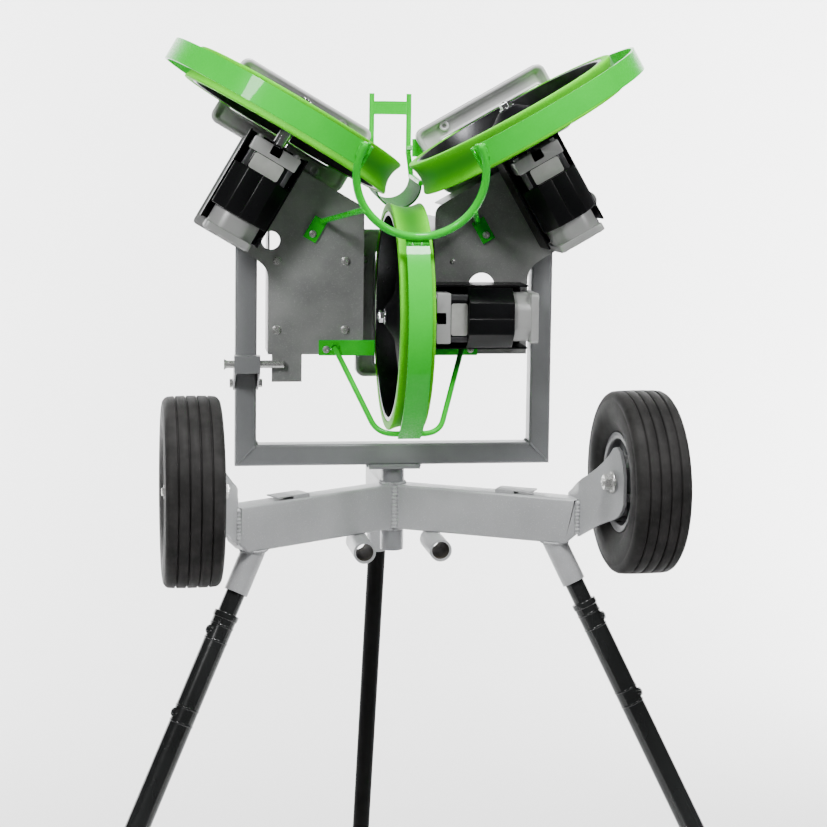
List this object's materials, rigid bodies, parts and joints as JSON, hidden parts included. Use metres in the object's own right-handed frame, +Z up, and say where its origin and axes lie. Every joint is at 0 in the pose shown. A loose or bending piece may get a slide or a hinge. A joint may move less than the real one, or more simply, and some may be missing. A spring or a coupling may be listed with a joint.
{
  "type": "cricket bowling machine",
  "caption": "Bowling machine with wheels set round the ball gap under green guards, tilting in a U-shaped frame on a wheeled stand with splayed telescopic legs.",
  "frame": {"origin": "on the floor, in the middle of the box round the three foot pads", "axes": "+Z up, -Y the way the ball is bowled (towards the viewer of the picture), +X to the right seen from the front"},
  "size_m": [1.8615, 1.1422, 2.2447],
  "materials": {
    "silver_paint": "satin",
    "cast_alu": "as cast",
    "green_paint": "gloss",
    "lime_urethane": "satin",
    "black_paint": "satin",
    "black_disc": "satin",
    "tyre_rubber": "matt",
    "zinc_steel": "plated",
    "hub_chrome": "polished",
    "box_plastic": "fine grain",
    "red_plastic": "gloss"
  },
  "bodies": {
    "base": {"hub_post": "silver_paint", "base_arms": "silver_paint", "left_wheel_bracket": "silver_paint", "right_wheel_bracket": "silver_paint", "transport_axles": "zinc_steel", "leg_sockets": "silver_paint", "upper_legs": "black_paint", "rear_leg": "black_paint", "rear_foot": "black_paint", "handle_tubes": "silver_paint", "arm_clips": "silver_paint"},
    "left_transport_wheel": {"left_tyre": "tyre_rubber", "left_rim": "silver_paint"},
    "right_transport_wheel": {"right_tyre": "tyre_rubber", "right_rim": "silver_paint"},
    "left_leg": {"left_lower_leg": "black_paint", "left_foot": "black_paint"},
    "right_leg": {"right_lower_leg": "black_paint", "right_foot": "black_paint"},
    "swivel_frame": {"swivel_saddle": "silver_paint", "u_frame": "silver_paint", "post_bolts": "zinc_steel"},
    "swivel_lock": {"swivel_lock_knob": "box_plastic"},
    "tilt_stop": {"stop_yoke": "silver_paint", "stop_pin": "zinc_steel"},
    "head": {"left_side_plate": "silver_paint", "right_side_plate": "silver_paint", "left_tray": "cast_alu", "right_tray": "cast_alu", "lower_tray": "cast_alu", "motor_cradles": "black_paint", "left_motor": "black_paint", "right_motor": "black_paint", "lower_motor": "black_paint", "motor_castings": "cast_alu", "left_guard": "green_paint", "right_guard": "green_paint", "lower_guard": "green_paint", "guard_ring": "green_paint", "guard_foot": "green_paint", "chute_trough": "green_paint", "chute_rods": "green_paint", "control_box": "box_plastic", "aim_handle": "box_plastic", "plate_bolts": "zinc_steel"},
    "left_bowling_wheel": {"left_bowling_tyre": "lime_urethane", "left_bowling_disc": "black_disc", "left_shaft_hub": "hub_chrome"},
    "right_bowling_wheel": {"right_bowling_tyre": "lime_urethane", "right_bowling_disc": "black_disc", "right_shaft_hub": "hub_chrome"},
    "lower_bowling_wheel": {"lower_bowling_tyre": "lime_urethane", "lower_bowling_disc": "black_disc", "lower_shaft_hub": "hub_chrome"},
    "left_dial_body": {"left_dial": "box_plastic"},
    "middle_dial_body": {"middle_dial": "box_plastic"},
    "right_dial_body": {"right_dial": "box_plastic"},
    "power_switch_body": {"power_switch": "red_plastic"}
  },
  "joints": [
    {"name": "left_transport_spin", "type": "hinge", "parent": "base", "child": "left_transport_wheel", "pos_m": [-0.38355, -0.26243, 1.513], "axis": [0.999, 0.0436, 0], "continuous": true},
    {"name": "right_transport_spin", "type": "hinge", "parent": "base", "child": "right_transport_wheel", "pos_m": [0.36174, -0.22989, 1.513], "axis": [0.999, 0.0436, 0], "continuous": true},
    {"name": "left_leg_slide", "type": "slide", "parent": "base", "child": "left_leg", "axis": [-0.3959, -0.2522, -0.8829], "range_m": [0, 0.25]},
    {"name": "right_leg_slide", "type": "slide", "parent": "base", "child": "right_leg", "axis": [0.4164, -0.2168, -0.8829], "range_m": [0, 0.25]},
    {"name": "swivel", "type": "hinge", "parent": "base", "child": "swivel_frame", "pos_m": [-0.02255, 0.02059, 1.504], "axis": [0, 0, 1], "range_deg": [-40, 40]},
    {"name": "swivel_lock_turn", "type": "hinge", "parent": "swivel_frame", "child": "swivel_lock", "pos_m": [-0.02255, 0.05759, 1.485], "axis": [0, 1, 0], "range_deg": [0, 540]},
    {"name": "stop_swing", "type": "hinge", "parent": "swivel_frame", "child": "tilt_stop", "pos_m": [-0.28655, 0.02059, 1.65], "axis": [1, 0, 0], "range_deg": [0, 75]},
    {"name": "tilt", "type": "hinge", "parent": "swivel_frame", "child": "head", "pos_m": [-0.02255, 0.02059, 1.934], "axis": [1, 0, 0], "range_deg": [0, 22]},
    {"name": "left_bowling_spin", "type": "hinge", "parent": "head", "child": "left_bowling_wheel", "pos_m": [-0.21308, -0.10141, 2.11], "axis": [-0.5, 0, -0.866], "continuous": true},
    {"name": "right_bowling_spin", "type": "hinge", "parent": "head", "child": "right_bowling_wheel", "pos_m": [0.16797, -0.10141, 2.11], "axis": [0.5, 0, -0.866], "continuous": true},
    {"name": "lower_bowling_spin", "type": "hinge", "parent": "head", "child": "lower_bowling_wheel", "pos_m": [-0.02255, -0.10141, 1.78], "axis": [1, 0, 0], "continuous": true},
    {"name": "left_dial_turn", "type": "hinge", "parent": "head", "child": "left_dial_body", "pos_m": [-0.21255, 0.05059, 1.842], "axis": [0, 1, 0], "range_deg": [-150, 150]},
    {"name": "middle_dial_turn", "type": "hinge", "parent": "head", "child": "middle_dial_body", "pos_m": [-0.17155, 0.05059, 1.842], "axis": [0, 1, 0], "range_deg": [-150, 150]},
    {"name": "right_dial_turn", "type": "hinge", "parent": "head", "child": "right_dial_body", "pos_m": [-0.13055, 0.05059, 1.842], "axis": [0, 1, 0], "range_deg": [-150, 150]},
    {"name": "power_switch_rock", "type": "hinge", "parent": "head", "child": "power_switch_body", "pos_m": [-0.17155, 0.04859, 1.778], "axis": [1, 0, 0], "range_deg": [-8, 8]}
  ]
}
